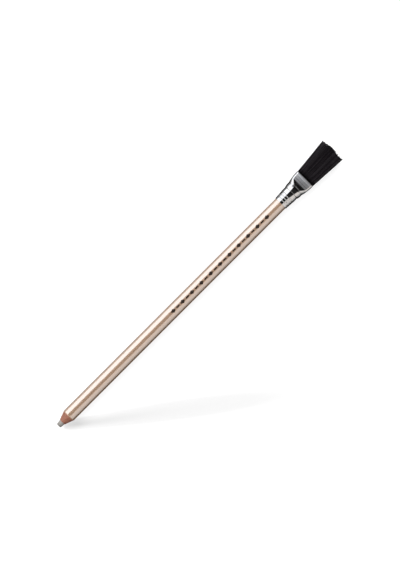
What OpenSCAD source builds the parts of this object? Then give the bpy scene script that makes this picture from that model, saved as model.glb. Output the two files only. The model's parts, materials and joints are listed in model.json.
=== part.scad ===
// Wood-cased eraser pencil with a flat brush in a metal ferrule.
// It lies along X with the eraser tip at -X and the brush at +X, on the plane z = 0.
// Millimetres. The origin is on that plane, under the middle of the length.

/* [Barrel] */
// Diameter of the lacquered barrel
barrel_d = 7.8; // [6.6:0.1:9]
// Length of the lacquered barrel in front of the ferrule
barrel_l = 167.7; // [110:0.1:200]
// Thickness of the champagne lacquer
lacquer_t = 0.1; // [0.08:0.01:0.16]
// Thickness of the pale primer under the lacquer
primer_t = 0.08; // [0.06:0.01:0.12]
// Thickness of the glue line between the two cedar slats
glue_line_t = 0.1; // [0.05:0.01:0.2]

/* [Eraser tip] */
// Diameter of the eraser core
core_d = 3.8; // [3.5:0.1:4.4]
// Length of the bare core in front of the wood
bare_core_l = 3; // [2:0.1:5]
// Length of the sharpened cone of wood and coats
cone_l = 5.3; // [3.5:0.1:9]
// Diameter of the blunt end
tip_d = 3; // [2:0.1:3.2]
// Rounding of the blunt end
tip_round_r = 0.45; // [0.1:0.05:0.6]
// How far the bare core is rubbed down below its bore, on the radius
core_wear = 0.15; // [0.05:0.05:0.3]
// Width of the flat land of wood around the core where the cone begins
nose_land = 0.05; // [0.03:0.01:0.15]

/* [Ferrule] */
// Length of the ferrule
ferrule_l = 19.5; // [17:0.1:26]
// Thickness of the sheet metal
ferrule_wall = 0.4; // [0.25:0.05:0.45]
// Length of the tenon of wood and core inside the ferrule
tenon_l = 8; // [5:0.1:8.5]
// Clearance of the ferrule around the tenon, on the radius
tenon_gap = 0.09; // [0.04:0.01:0.15]
// Distance of the first rolled ring from the rear edge
ring_start = 1.8; // [1.2:0.1:2.4]
// Distance between the rolled rings
ring_pitch = 1.68; // [1.3:0.02:1.9]
// Number of rolled rings
ring_count = 3; // [1:1:3]
// How much each ring widens the ferrule, on the radius
ring_rise = 0.12; // [0.06:0.01:0.16]
// Radius of the bead of a rolled ring
ring_bead_r = 0.3; // [0.2:0.02:0.36]
// Distance of the shoulder in front of the rings from the rear edge
shoulder_at = 8.3; // [7.4:0.1:9]
// Height of that shoulder's step, on the radius
shoulder_rise = 0.27; // [0.1:0.01:0.3]
// How much the tube widens from the shoulder to the flat mouth's press, on the radius
land_rise = 0.28; // [0.1:0.02:0.6]
// Distance from the rear edge at which the tube starts to be pressed flat
press_start = 11.7; // [11:0.1:12.5]
// Length over which it turns from round to flat
press_l = 3.1; // [2:0.1:4]
// Width of the flat mouth
mouth_w = 12.2; // [11.2:0.1:15]
// Thickness of the flat mouth
mouth_t = 4.6; // [3.8:0.1:6]
// Width of the rounded side next to the flat, seen from above
mouth_side_w = 1.4; // [1:0.1:1.6]
// Depth of the crimp lines across the flat
crimp_depth = 0.08; // [0.04:0.01:0.12]
// Diameter of the sphere that leaves a punch dimple
dimple_d = 1.4; // [1:0.1:2]
// Depth of the punch dimples
dimple_depth = 0.16; // [0.08:0.02:0.2]

/* [Brush] */
// Free length of the bristles at the crown
tuft_l = 23; // [12:0.5:35]
// Width of the brush at the tips
tuft_tip_w = 15.9; // [11:0.1:19]
// Thickness of the brush at the tips
tuft_tip_t = 3.6; // [2.6:0.1:5]
// How far the tips lean to +Y
tuft_lean = 0.5; // [0:0.01:1.5]
// How much shorter the outer strands are than the crown
tuft_crown = 0.8; // [0:0.1:2]
// Clearance of the bound bristles inside the ferrule
tuft_gap = 0.06; // [0.04:0.01:0.12]
// Strands across the width
strand_cols = 36; // [34:1:40]
// Strands through the thickness
strand_rows = 10; // [9:1:12]

/* [Stamp] */
// Depth of the stamped foil in the lacquer
foil_t = 0.05; // [0.04:0.01:0.06]
// Distance of the last lozenge's middle from the ferrule
stamp_margin = 11; // [4:0.5:30]
// Distance between the middles of the lozenges
stamp_pitch = 7.4; // [6:0.1:7.6]
// Number of lozenges
lozenge_count = 11; // [3:1:11]
// Length of a lozenge
lozenge_l = 3.4; // [2:0.1:3.6]
// Width of a lozenge across the barrel
lozenge_w = 2.4; // [1:0.1:2.6]
// Length of the bar between two lozenges
bar_l = 2.4; // [1:0.1:2.5]
// Width of the bar across the barrel
bar_w = 0.8; // [0.3:0.1:1]

/* [Hidden] */

// Radii from the core outwards
core_r = core_d / 2;
nose_r = core_r + nose_land;
barrel_r = barrel_d / 2;
primer_r = barrel_r - lacquer_t;
wood_r = primer_r - primer_t;
ferrule_rear_r = wood_r + tenon_gap + ferrule_wall;
neck_r = ferrule_rear_r + ring_count * ring_rise;
round_r = neck_r + shoulder_rise + land_rise;

// Stations along the pencil, counted from the blunt end
rear_edge = bare_core_l + cone_l + barrel_l;
tenon_end = rear_edge + tenon_l;
mouth = rear_edge + ferrule_l;
total_l = mouth + tuft_l;

// Place of the blunt end and height of the axis above the plane it lies on
tip_x = -total_l / 2;
axis_z = round_r;

// Ferrule stations, counted from its rear edge
press_end = press_start + press_l;
bead_proud = 0.05;
hump_rise = 0.06;
hump_back = 1.7;
neck_back = 0.7;
shoulder_ramp = 0.3;
land_l = 1.1;
groove_depth = 0.06;
groove_l = 0.25;
lip_l = 0.45;
lip_turn = 0.16;
crimp_count = 3;
flat_l = ferrule_l - lip_l - press_end;
crimp_pitch = flat_l / crimp_count;
crimp_half = 0.2 * crimp_pitch;

// How suddenly the sides widen where the press starts: 1 is smooth, less is a step
flare_power = 0.7;
dimple_angles = [25, 115, 205, 295];
dimple_at = ring_start + ring_pitch / 2;

// How far a cutting body reaches past what it cuts
cut_over = 1;

// Fineness of the pressed sheet and of the bristle bundle
ring_points = 64;
press_steps = 7;
bundle_steps = 8;

// How round the bundle is: 1 is an ellipse, 0 a rectangle
butt_round = 1;
mouth_round = 0.42;
tip_round = 0.3;

// Share of its cell that a strand takes up at its root and at its tip
root_fill = 0.8;
tip_fill = 0.62;

// Columns in a lock, how far a lock draws together, and how uneven the strands' ends are
lock_cols = 6;
lock_pull = 0.05;
ragged = 0.9;
ragged_core = 0.35;

function mix(a, b, s) = a + (b - a) * s;
function clamp01(s) = max(0, min(1, s));

// Station of the sharpened cone at a radius
function cone_at(r) = bare_core_l + cone_l * (r - nose_r) / (barrel_r - nose_r);

// Spreads a body of revolution along the pencil, from a station counted from the blunt end
module on_axis(station = 0) {
    translate([tip_x + station, 0, axis_z]) rotate([0, 90, 0]) children();
}

// Eraser core

module eraser_core() {
    worn_r = core_r - core_wear;
    tip_r = tip_d / 2;
    color("#a9a7a2") on_axis() rotate_extrude($fn = 96) {
        polygon([
            [0, 0], [tip_r - tip_round_r, 0],
            for (a = [15:15:75]) [tip_r - tip_round_r * (1 - sin(a)), tip_round_r * (1 - cos(a))],
            [tip_r, tip_round_r], [worn_r, bare_core_l], [core_r, bare_core_l], [core_r, tenon_end],
            [0, tenon_end]
        ]);
    }
}

// Cedar case

module cased_wood() {
    on_axis() difference() {
        rotate_extrude($fn = 96) {
            polygon([
                [0, bare_core_l], [nose_r, bare_core_l], [wood_r, cone_at(wood_r)],
                [wood_r, tenon_end], [0, tenon_end]
            ]);
        }
        cylinder(r = core_r, h = tenon_end + cut_over, $fn = 96);
    }
}

module slat_block(z_from, z_to) {
    translate([tip_x - cut_over, -barrel_d, axis_z + z_from]) {
        cube([total_l + 2 * cut_over, 2 * barrel_d, z_to - z_from]);
    }
}

module cedar_slat_upper() {
    color("#b8755c") intersection() {
        cased_wood();
        slat_block(glue_line_t / 2, barrel_d);
    }
}

module cedar_slat_lower() {
    color("#a9684f") intersection() {
        cased_wood();
        slat_block(-barrel_d, -glue_line_t / 2);
    }
}

module slat_glue_line() {
    color("#d8c49a") intersection() {
        cased_wood();
        slat_block(-glue_line_t / 2, glue_line_t / 2);
    }
}

// Coats

module coat(inner_r, outer_r) {
    on_axis() rotate_extrude($fn = 128) {
        polygon([
            [inner_r, cone_at(inner_r)], [outer_r, cone_at(outer_r)], [outer_r, rear_edge],
            [inner_r, rear_edge]
        ]);
    }
}

module primer_coat() {
    color("#efe9dc") coat(wood_r, primer_r);
}

module lacquer_coat() {
    color("#d8c0a4") difference() {
        coat(primer_r, barrel_r);
        stamp_shell(barrel_r + cut_over);
    }
}

// Stamped foil: a chain of lozenges and bars on the side that faces up

module lozenge() {
    linear_extrude(height = barrel_d) {
        polygon([[-lozenge_l / 2, 0], [0, -lozenge_w / 2], [lozenge_l / 2, 0], [0, lozenge_w / 2]]);
    }
}

module bar() {
    translate([-bar_l / 2, -bar_w / 2, 0]) cube([bar_l, bar_w, barrel_d]);
}

module stamp_shell(outer_r) {
    first_x = tip_x + rear_edge - stamp_margin - (lozenge_count - 1) * stamp_pitch;
    intersection() {
        on_axis(bare_core_l + cone_l) difference() {
            cylinder(r = outer_r, h = barrel_l, $fn = 128);
            translate([0, 0, -cut_over]) {
                cylinder(r = barrel_r - foil_t, h = barrel_l + 2 * cut_over, $fn = 128);
            }
        }
        translate([first_x, 0, axis_z]) {
            for (i = [0:lozenge_count - 1]) translate([i * stamp_pitch, 0, 0]) lozenge();
            for (i = [0:lozenge_count - 2]) translate([(i + 0.5) * stamp_pitch, 0, 0]) bar();
        }
    }
}

module stamped_foil() {
    color("#3a2a20") stamp_shell(barrel_r);
}

// Ferrule: a round tube with rolled rings, pressed flat towards its mouth

function ring_at(i) = ring_start + i * ring_pitch;

// Outline of the round part's outer face, from the rear edge to the start of the press
function round_outline() = [
    [ferrule_rear_r, 0],
    for (i = [0:ring_count - 1], side = [0, 1])
        [ferrule_rear_r + (i + side) * ring_rise, ring_at(i) + (side - 0.5) * ring_bead_r],
    [neck_r + hump_rise, shoulder_at - hump_back],
    [neck_r, shoulder_at - neck_back],
    [neck_r, shoulder_at],
    [neck_r + shoulder_rise, shoulder_at + shoulder_ramp],
    [round_r, press_start - land_l],
    [round_r, press_start]
];

// Radius of the round part's outer face at a distance from the rear edge
function round_face_r(u) = lookup(u, [for (p = round_outline()) [p[1], p[0]]]);

function inward(outline, by) = [for (p = outline) [p[0] - by, p[1]]];
function reversed(list) = [for (i = [len(list) - 1:-1:0]) list[i]];

module round_tube() {
    outer = round_outline();
    rotate_extrude($fn = 128) {
        polygon(concat(outer, reversed(inward(outer, ferrule_wall))));
    }
}

module rolled_rings() {
    for (i = [0:ring_count - 1]) {
        low_r = ferrule_rear_r + i * ring_rise;
        bead_middle_r = low_r + ring_rise + bead_proud - ring_bead_r;
        difference() {
            translate([0, 0, ring_at(i)]) rotate_extrude($fn = 128) {
                translate([bead_middle_r, 0]) circle(r = ring_bead_r, $fn = 32);
            }
            translate([0, 0, ring_at(i) - ring_bead_r]) {
                cylinder(r = low_r - ferrule_wall / 2, h = 2 * ring_bead_r, $fn = 128);
            }
        }
    }
}

module punch_dimples() {
    middle_r = round_face_r(dimple_at) - dimple_depth + dimple_d / 2;
    for (a = dimple_angles) {
        rotate([0, 0, 180 + a]) translate([middle_r, 0, dimple_at]) sphere(d = dimple_d, $fn = 32);
    }
}

// Half width, half thickness and half width of the flat of the pressed tube at a distance
// from the rear edge
function pressed(u) = clamp01((u - press_start) / press_l);
function flare(u) = pow(sin(90 * clamp01((u - press_start) / (ferrule_l - press_start))), flare_power);
function half_w(u) = mix(round_r, mouth_w / 2, flare(u));
function half_t(u) = mix(round_r, mouth_t / 2, pressed(u));
function flat_w(u) = pressed(u) * (half_w(max(u, press_end)) - mouth_side_w);

// Points around two flats joined by elliptic sides, in the YZ plane, counter-clockwise seen from +X
function flattened(x, w, t, f) = [
    for (k = [0:ring_points - 1])
        let (a = (k + 0.5) * 360 / ring_points)
        [x, sign(cos(a)) * f + (w - f) * cos(a), axis_z + t * sin(a)]
];

// Points around the pressed tube at a distance from its rear edge, drawn in by a
// wall or a rolled lip on every side, and by a crimp line on the flats alone
function pressed_ring(u, inset, crimp = 0) = flattened(
    tip_x + rear_edge + u, half_w(u) - inset, half_t(u) - inset - crimp, flat_w(u)
);

// Sections of the pressed tube, from the groove behind it to its lip:
// [distance from the rear edge, inset of the outer face, of the inner face, depth of the crimp line]
function press_sections() = [
    [press_start, groove_depth, ferrule_wall - groove_depth, 0],
    for (i = [0:press_steps])
        [mix(press_start + groove_l, press_end, i / press_steps), 0, ferrule_wall, 0],
    for (i = [0:crimp_count - 1], part = [-1, 0, 1])
        let (u = press_end + (i + 0.78) * crimp_pitch + part * crimp_half)
        [u, 0, ferrule_wall, part == 0 ? crimp_depth : 0],
    [ferrule_l - lip_l, 0, ferrule_wall, 0],
    [ferrule_l, lip_turn, ferrule_wall, 0]
];

module pressed_tube() {
    sections = press_sections();
    rings = len(sections);
    n = ring_points;
    outer = [for (s = sections) each pressed_ring(s[0], s[1], s[3])];
    inner = [for (s = sections) each pressed_ring(s[0], s[2])];
    skip = rings * n;
    last = (rings - 1) * n;
    faces = [
        for (i = [0:rings - 2], k = [0:n - 1])
            let (a = i * n + k, b = i * n + (k + 1) % n, c = b + n, d = a + n)
            each [[a, d, c], [a, c, b], [a + skip, c + skip, d + skip], [a + skip, b + skip, c + skip]],
        for (k = [0:n - 1])
            let (a = k, b = (k + 1) % n)
            each [[a, b, b + skip], [a, b + skip, a + skip]],
        for (k = [0:n - 1])
            let (a = last + k, b = last + (k + 1) % n)
            each [[a, b + skip, b], [a, a + skip, b + skip]]
    ];
    polyhedron(points = concat(outer, inner), faces = faces, convexity = 6);
}

module ferrule() {
    color("#c9ccd2") {
        on_axis(rear_edge) difference() {
            union() {
                round_tube();
                rolled_rings();
            }
            punch_dimples();
        }
        pressed_tube();
    }
}

// Resin plug between the tenon and the bound bristles

module bristle_resin_plug() {
    inset = ferrule_wall + tuft_gap;
    color("#c7a45a") on_axis(rear_edge) rotate_extrude($fn = 96) {
        polygon([
            [0, tenon_l],
            [round_face_r(tenon_l) - inset, tenon_l],
            for (p = inward(round_outline(), inset)) if (p[1] > tenon_l) p,
            [0, press_start]
        ]);
    }
}

// Bristle tuft: a bound bundle inside the mouth and a grid of tapered strands fused to its face

// Point of a grid square (a and b from -1 to 1) drawn onto a rounded oblong
function spread(a, b, w, t, roundness) = [
    w * a * sqrt(1 - roundness * b * b / 2),
    t * b * sqrt(1 - roundness * a * a / 2)
];

function column_at(i) = 2 * i / strand_cols - 1;
function row_at(j) = 2 * j / strand_rows - 1;

// Where the edge of the grid lies, counter-clockwise seen from +X
edge_count = 2 * (strand_cols + strand_rows);
function edge_cell(k) =
    k < strand_cols ? [k, 0]
    : k < strand_cols + strand_rows ? [strand_cols, k - strand_cols]
    : k < 2 * strand_cols + strand_rows ? [2 * strand_cols + strand_rows - k, strand_rows]
    : [0, edge_count - k];

// Root of the brush in its mouth, as half width and half thickness
root_w = mouth_w / 2 - ferrule_wall - tuft_gap;
root_t = mouth_t / 2 - ferrule_wall - tuft_gap;

function bundle_ring(s) =
    let (
        u = mix(press_start, ferrule_l, s),
        w = half_w(u) - ferrule_wall - tuft_gap,
        t = half_t(u) - ferrule_wall - tuft_gap,
        roundness = mix(butt_round, mouth_round, clamp01((u - press_end) / (ferrule_l - press_end)))
    )
    [
        for (k = [0:edge_count - 1])
            let (c = edge_cell(k), p = spread(column_at(c[0]), row_at(c[1]), w, t, roundness))
            [tip_x + rear_edge + u, p[0], axis_z + p[1]]
    ];

// Tips of the columns are drawn together into locks
function lock_middle(a) =
    let (lock = floor((a + 1) / 2 * strand_cols / lock_cols))
    column_at((lock + 0.5) * lock_cols);

// A steady value from 0 to 1 that differs from strand to strand
function scatter(i, j) = let (v = sin(i * 127.1 + j * 311.7) * 43.7) v - floor(v);

// Corners of one strand's root and tip
function strand_quad(i, j, fill) = [
    for (c = [[-1, -1], [1, -1], [1, 1], [-1, 1]])
        [column_at(i + 0.5 + c[0] * fill / 2), row_at(j + 0.5 + c[1] * fill / 2)]
];
function strand_root(i, j) = [
    for (q = strand_quad(i, j, root_fill))
        let (p = spread(q[0], q[1], root_w, root_t, mouth_round))
        [tip_x + mouth, p[0], axis_z + p[1]]
];
function strand_tip(i, j) =
    let (
        across = column_at(i + 0.5),
        middle = lock_middle(across),
        unevenness = ragged * scatter(i, j) * mix(ragged_core, 1, abs(row_at(j + 0.5))),
        reach = 1 - (tuft_crown * across * across + unevenness) / tuft_l,
        roots = strand_root(i, j),
        quad = strand_quad(i, j, tip_fill)
    )
    [
        for (c = [0:3])
            let (
                a = mix(quad[c][0], middle, lock_pull),
                p = spread(a, quad[c][1], tuft_tip_w / 2, tuft_tip_t / 2, tip_round),
                far = [tip_x + total_l, tuft_lean + p[0], axis_z + p[1]]
            )
            mix(roots[c], far, reach)
    ];

module bristle_tuft() {
    cols = strand_cols;
    rows = strand_rows;
    m = edge_count;
    rings = [for (i = [0:bundle_steps - 1]) each bundle_ring(i / bundle_steps)];
    grid = [
        for (j = [0:rows], i = [0:cols])
            let (p = spread(column_at(i), row_at(j), root_w, root_t, mouth_round))
            [tip_x + mouth, p[0], axis_z + p[1]]
    ];
    roots = [for (j = [0:rows - 1], i = [0:cols - 1]) each strand_root(i, j)];
    tips = [for (j = [0:rows - 1], i = [0:cols - 1]) each strand_tip(i, j)];
    butt = [tip_x + rear_edge + press_start, 0, axis_z];
    grid0 = len(rings);
    roots0 = grid0 + len(grid);
    tips0 = roots0 + len(roots);
    butt0 = tips0 + len(tips);
    function grid_index(c) = grid0 + c[1] * (cols + 1) + c[0];
    function ring_index(i, k) = i < bundle_steps ? i * m + k % m : grid_index(edge_cell(k % m));
    faces = [
        for (k = [0:m - 1]) [butt0, k, (k + 1) % m],
        for (i = [0:bundle_steps - 1], k = [0:m - 1])
            let (a = ring_index(i, k), b = ring_index(i, k + 1))
            let (c = ring_index(i + 1, k + 1), d = ring_index(i + 1, k))
            each [[a, d, c], [a, c, b]],
        for (j = [0:rows - 1], i = [0:cols - 1])
            let (
                s = 4 * (j * cols + i),
                corners = [for (c = [[0, 0], [1, 0], [1, 1], [0, 1]]) grid_index([i + c[0], j + c[1]])]
            )
            each [
                for (c = [0:3])
                    let (g = corners[c], h = corners[(c + 1) % 4], a = s + c, b = s + (c + 1) % 4)
                    each [
                        [g, roots0 + a, roots0 + b], [g, roots0 + b, h],
                        [roots0 + a, tips0 + a, tips0 + b], [roots0 + a, tips0 + b, roots0 + b]
                    ],
                [tips0 + s, tips0 + s + 3, tips0 + s + 2],
                [tips0 + s, tips0 + s + 2, tips0 + s + 1]
            ]
    ];
    points = concat(rings, grid, roots, tips, [butt]);
    color("#231d22") polyhedron(points = points, faces = faces, convexity = 12);
}

eraser_core();
cedar_slat_upper();
cedar_slat_lower();
slat_glue_line();
primer_coat();
lacquer_coat();
stamped_foil();
ferrule();
bristle_resin_plug();
bristle_tuft();
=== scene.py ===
import json
import math

import bmesh
import bpy
import numpy as np
from bpy.props import FloatProperty, FloatVectorProperty, IntProperty, PointerProperty
from bpy.types import Operator, Panel, PropertyGroup
from mathutils import Matrix, Vector, noise


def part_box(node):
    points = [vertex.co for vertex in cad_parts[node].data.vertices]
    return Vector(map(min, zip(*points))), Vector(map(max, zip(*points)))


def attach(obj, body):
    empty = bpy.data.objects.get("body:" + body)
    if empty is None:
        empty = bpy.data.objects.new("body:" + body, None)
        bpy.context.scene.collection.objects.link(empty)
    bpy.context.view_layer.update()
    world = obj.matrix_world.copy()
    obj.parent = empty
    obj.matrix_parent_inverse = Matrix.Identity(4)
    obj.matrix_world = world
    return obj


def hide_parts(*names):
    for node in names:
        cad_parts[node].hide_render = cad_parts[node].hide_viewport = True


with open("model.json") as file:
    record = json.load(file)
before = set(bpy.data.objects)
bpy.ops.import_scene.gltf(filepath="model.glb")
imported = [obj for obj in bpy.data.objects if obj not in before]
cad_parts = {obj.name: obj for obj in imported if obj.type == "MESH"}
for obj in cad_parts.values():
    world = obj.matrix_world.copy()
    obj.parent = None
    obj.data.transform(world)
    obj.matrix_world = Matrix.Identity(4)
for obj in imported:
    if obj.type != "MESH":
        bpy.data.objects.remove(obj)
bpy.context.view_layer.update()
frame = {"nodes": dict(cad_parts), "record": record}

bl_info = {
    "name": "Pencil eraser stick",
    "version": (1, 0, 0),
    "blender": (4, 5, 0),
    "location": "3D View > Sidebar > Pencil",
    "description": "Models and finishes a wood-cased eraser pencil with a flat brush in a "
                   "metal ferrule",
    "category": "Object",
}

MM = 0.001
BODY = "root"
GRIP = frame["record"]["mounts"][0]
AXIS_Z = GRIP["pos_m"][2]
BARREL_R = GRIP["dims"]["r_mm"] * MM


def reach(node):
    """Largest distance of a CAD node's corners from the pencil's axis."""
    corners = (v.co for v in frame["nodes"][node].data.vertices)
    return max(math.hypot(c.y, c.z - AXIS_Z) for c in corners)


TIP_X, TENON_X = (corner.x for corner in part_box("eraser_core"))
NOSE_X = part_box("cedar_slat_upper")[0].x
REAR_X, MOUTH_X = (corner.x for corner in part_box("ferrule"))
FERRULE_L = MOUTH_X - REAR_X
PLUG_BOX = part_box("bristle_resin_plug")
STAMP_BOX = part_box("stamped_foil")
GLUE_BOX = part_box("slat_glue_line")
TUFT_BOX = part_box("bristle_tuft")


# Sizes and colours that a user would change

def length(name, description, default):
    """A size in metres, shown in the scene's length unit."""
    return FloatProperty(name=name, description=description, default=default, min=0.0,
                         precision=6, subtype="DISTANCE", unit="LENGTH")


def colour(name, description, default):
    """A colour without alpha."""
    return FloatVectorProperty(name=name, description=description, default=default, size=3,
                               min=0.0, max=1.0, subtype="COLOR")


class CaseSizes(PropertyGroup):
    """Sizes of the eraser core, the cedar case and its coats."""
    core_r: length("Core radius", "Radius of the eraser core inside the wood", reach("eraser_core"))
    worn_r: length("Worn radius", "Radius of the bare core where it leaves the wood", 1.75 * MM)
    blunt_r: length("Blunt radius", "Radius of the blunt end", 1.50 * MM)
    blunt_round: length("Blunt rounding", "Rounding of the blunt end", 0.45 * MM)
    nose_r: length("Nose radius", "Radius of the wood around the core", 1.95 * MM)
    wood_r: length("Wood radius", "Radius of the cedar case", reach("cedar_slat_upper"))
    primer_r: length("Primer radius", "Outer radius of the primer", reach("primer_coat"))
    barrel_r: length("Barrel radius", "Outer radius of the lacquer", BARREL_R)
    cone_l: length("Cone length", "Length of the sharpened cone",
                   GRIP["pos_m"][0] - GRIP["dims"]["length_mm"] * MM / 2 - NOSE_X)
    glue_t: length("Glue line", "Thickness of the glue line", GLUE_BOX[1].z - GLUE_BOX[0].z)
    edge_round: length("Lacquer edge", "Rounding of the lacquer's cut edge", 0.035 * MM)
    rub: length("Rubbing", "How far use has dented the bare rubber", 0.03 * MM)


class StampSizes(PropertyGroup):
    """Sizes of the stamped chain of lozenges and bars."""
    lozenges: IntProperty(name="Lozenges", description="Number of lozenges", default=11, min=2)
    lozenge_l: length("Lozenge length", "Length of a lozenge along the barrel", 3.4 * MM)
    lozenge_w: length("Lozenge width", "Width of a lozenge across the barrel",
                      STAMP_BOX[1].y - STAMP_BOX[0].y)
    bar_l: length("Bar length", "Length of the bar between two lozenges", 2.4 * MM)
    bar_w: length("Bar width", "Width of the bar across the barrel", 0.8 * MM)
    depth: length("Foil depth", "Depth of the pressed recess", 0.05 * MM)
    sunk: length("Foil sunk", "How far the foil's face lies below the lacquer", 0.012 * MM)


class FerruleSizes(PropertyGroup):
    """Sizes of the rolled and pressed sheet-metal ferrule."""
    rear_r: length("Rear radius", "Outer radius at the rear edge", 4.21 * MM)
    wall: length("Sheet", "Thickness of the sheet metal", 0.40 * MM)
    ring_start: length("First ring", "Distance of the first rolled ring from the rear edge",
                       1.8 * MM)
    ring_pitch: length("Ring pitch", "Distance between rolled rings", 1.68 * MM)
    rings: IntProperty(name="Rings", description="Number of rolled rings", default=3, min=1)
    ring_rise: length("Ring rise", "How much each ring widens the ferrule", 0.12 * MM)
    bead: length("Bead", "How far a rolled bead stands proud", 0.09 * MM)
    hump_at: length("Hump", "Distance of the low hump from the rear edge", 6.6 * MM)
    shoulder_at: length("Shoulder", "Distance of the shoulder's step from the rear edge", 8.3 * MM)
    shoulder_rise: length("Shoulder rise", "Height of the shoulder's step", 0.27 * MM)
    round_at: length("Widest", "Distance at which the round part is widest", 10.6 * MM)
    round_r: length("Round radius", "Radius of the widest round part, on which the pencil lies",
                    AXIS_Z)
    press_start: length("Press start", "Distance at which the press begins", 11.7 * MM)
    press_l: length("Press length", "Length over which the tube turns flat", 3.1 * MM)
    mouth_w: length("Mouth width", "Width of the flat mouth", 12.2 * MM)
    mouth_t: length("Mouth thickness", "Thickness of the flat mouth", 4.6 * MM)
    mouth_edge: length("Mouth edge", "Width of the rounded edge beside the flat", 1.4 * MM)
    flare_power: FloatProperty(
        name="Flare", description="How gradually the sides widen at the press: less is more sudden",
        default=0.7, min=0.1)
    crimp: length("Crimp depth", "Depth of the crimp lines on the flat", 0.11 * MM)
    crown: length("Crown", "How much lower the flat's edges are than its middle", 0.28 * MM)
    groove: length("Groove", "Depth of the groove at the press", 0.13 * MM)
    groove_after: length("Groove place", "Distance of the groove from where the press begins",
                         0.05 * MM)
    crimps: IntProperty(name="Crimps", description="Number of crimp lines", default=3, min=0)
    give: length("Give", "Half width of the flat that forms in the round part before the press",
                 1.80 * MM)
    dimple_r: length("Dimple radius", "Radius of a punch dimple's mouth", 0.45 * MM)
    dimple: length("Dimple depth", "Depth of a punch dimple", 0.16 * MM)


class BrushSizes(PropertyGroup):
    """Sizes of the bristle tuft."""
    bristles: IntProperty(name="Bristles", description="Number of bristles", default=4000, min=100)
    bristle_r: length("Bristle radius", "Radius of a bristle at its root", 0.062 * MM)
    bound_l: length("Bound length", "Length of the bristles inside the mouth", 2.5 * MM)
    root_w: length("Root width", "Half width of the tuft in the mouth", 5.68 * MM)
    root_t: length("Root thickness", "Half thickness of the tuft in the mouth", 1.86 * MM)
    tip_t: length("Tip thickness", "Half thickness of the tuft at its tips", 1.74 * MM)
    crown_back: length("Crown", "How much shorter the bristles at the upper edge are", 1.02 * MM)
    uneven: length("Unevenness", "How uneven the bristles' ends are", 0.20 * MM)
    locks: IntProperty(name="Locks", description="Number of locks across the brush", default=26,
                       min=2)
    seed: IntProperty(name="Seed", description="Seed of everything random in the tuft", default=11)


class FinishColours(PropertyGroup):
    """Colours of the finishes, in linear light."""
    lacquer: colour("Lacquer", "Champagne lacquer", (0.650, 0.420, 0.276))
    nickel: colour("Nickel", "Nickel plating", (0.71, 0.705, 0.70))
    # The satin's bluish tint is a painted reflection of cool light.
    satin: colour("Satin nickel", "Bluish satin of the pressed flat", (0.89, 0.905, 1.0))
    cedar: colour("Cedar", "Bare cedar", (0.462, 0.193, 0.125))
    cedar_dark: colour("Cedar grain", "Dark grain of the cedar", (0.27, 0.095, 0.055))
    rubber: colour("Rubber", "Grey eraser rubber", (0.45, 0.427, 0.397))
    primer: colour("Primer", "Pinkish brown primer", (0.46, 0.285, 0.21))
    glue: colour("Glue", "Dried wood glue", (0.55, 0.38, 0.20))
    foil: colour("Foil", "Dark brown foil", (0.030, 0.018, 0.011))
    resin: colour("Resin", "Amber resin", (0.45, 0.24, 0.06))
    bristle: colour("Bristle", "Near-black bristle", (0.0045, 0.0032, 0.0045))
    bristle_light: colour("Bristle streak", "Lighter streaks of the bristles",
                          (0.058, 0.050, 0.058))


class StudioSettings(PropertyGroup):
    """Light, floor and camera."""
    key: FloatProperty(name="Key", description="Radiance of the key lamp", default=2.86, min=0.0)
    fill: FloatProperty(name="Fill", description="Radiance of the fill lamp", default=0.32, min=0.0)
    ambient: FloatProperty(name="Ambient", description="Radiance of the room on matt surfaces",
                           default=0.08, min=0.0)
    lens: FloatProperty(name="Lens", description="Focal length of the camera in millimetres",
                        default=200.0, min=1.0)
    view_l: length("View length", "Length that the picture's long side takes in", 319.2 * MM)
    aim: FloatVectorProperty(name="Aim", description="Point in the middle of the picture", size=3,
                             default=(2.51 * MM, -0.35 * MM, AXIS_Z), subtype="TRANSLATION",
                             unit="LENGTH", precision=6)
    roll: FloatProperty(name="Roll", description="Angle of the pencil in the picture",
                        default=math.radians(45.05), subtype="ANGLE", unit="ROTATION")


# Node trees

def put(tree, value, socket):
    """Links a socket to another one, or sets it to a plain value."""
    if isinstance(value, bpy.types.NodeSocket):
        tree.links.new(value, socket)
    else:
        socket.default_value = value


def node(tree, kind, inputs=None, **settings):
    """Adds a node, sets its settings, and sets or links its inputs by name or number."""
    made = tree.nodes.new(kind)
    for key, value in settings.items():
        setattr(made, key, value)
    for key, value in (inputs or {}).items():
        put(tree, value, made.inputs[key])
    return made


def maths(tree, operation, *values):
    """One step of arithmetic on values."""
    return node(tree, "ShaderNodeMath", dict(enumerate(values)), operation=operation).outputs[0]


def ranged(tree, value, low, high, to_low=0.0, to_high=1.0, **settings):
    """Spreads the values between two limits over another range, and holds them at its ends."""
    return node(tree, "ShaderNodeMapRange", {
        "Value": value, "From Min": low, "From Max": high, "To Min": to_low, "To Max": to_high},
        **settings).outputs[0]


def noisy(tree, vector, scale, detail, roughness):
    """Soft noise from 0 to 1."""
    return node(tree, "ShaderNodeTexNoise", {
        "Vector": vector, "Scale": scale, "Detail": detail, "Roughness": roughness}).outputs[0]


def along(tree, place):
    """Distance along the pencil."""
    return node(tree, "ShaderNodeSeparateXYZ", {0: place}).outputs[0]


def written(tree, name):
    """A value that a piece's own mesh carries."""
    return node(tree, "ShaderNodeAttribute", attribute_name=name).outputs["Fac"]


def rgba(value):
    """A colour with full alpha."""
    return (*value, 1.0)


def build_speckle(tree, given, result):
    """Fine grains of random value, one to a cell."""
    cells = node(tree, "ShaderNodeTexVoronoi", {"Vector": given["Vector"], "Scale": given["Scale"]})
    tone = node(tree, "ShaderNodeSeparateColor", {"Color": cells.outputs["Color"]}).outputs[0]
    tree.links.new(tone, result["Value"])
    tree.links.new(ranged(tree, tone, given["Threshold"], 1.0), result["Mask"])


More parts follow.
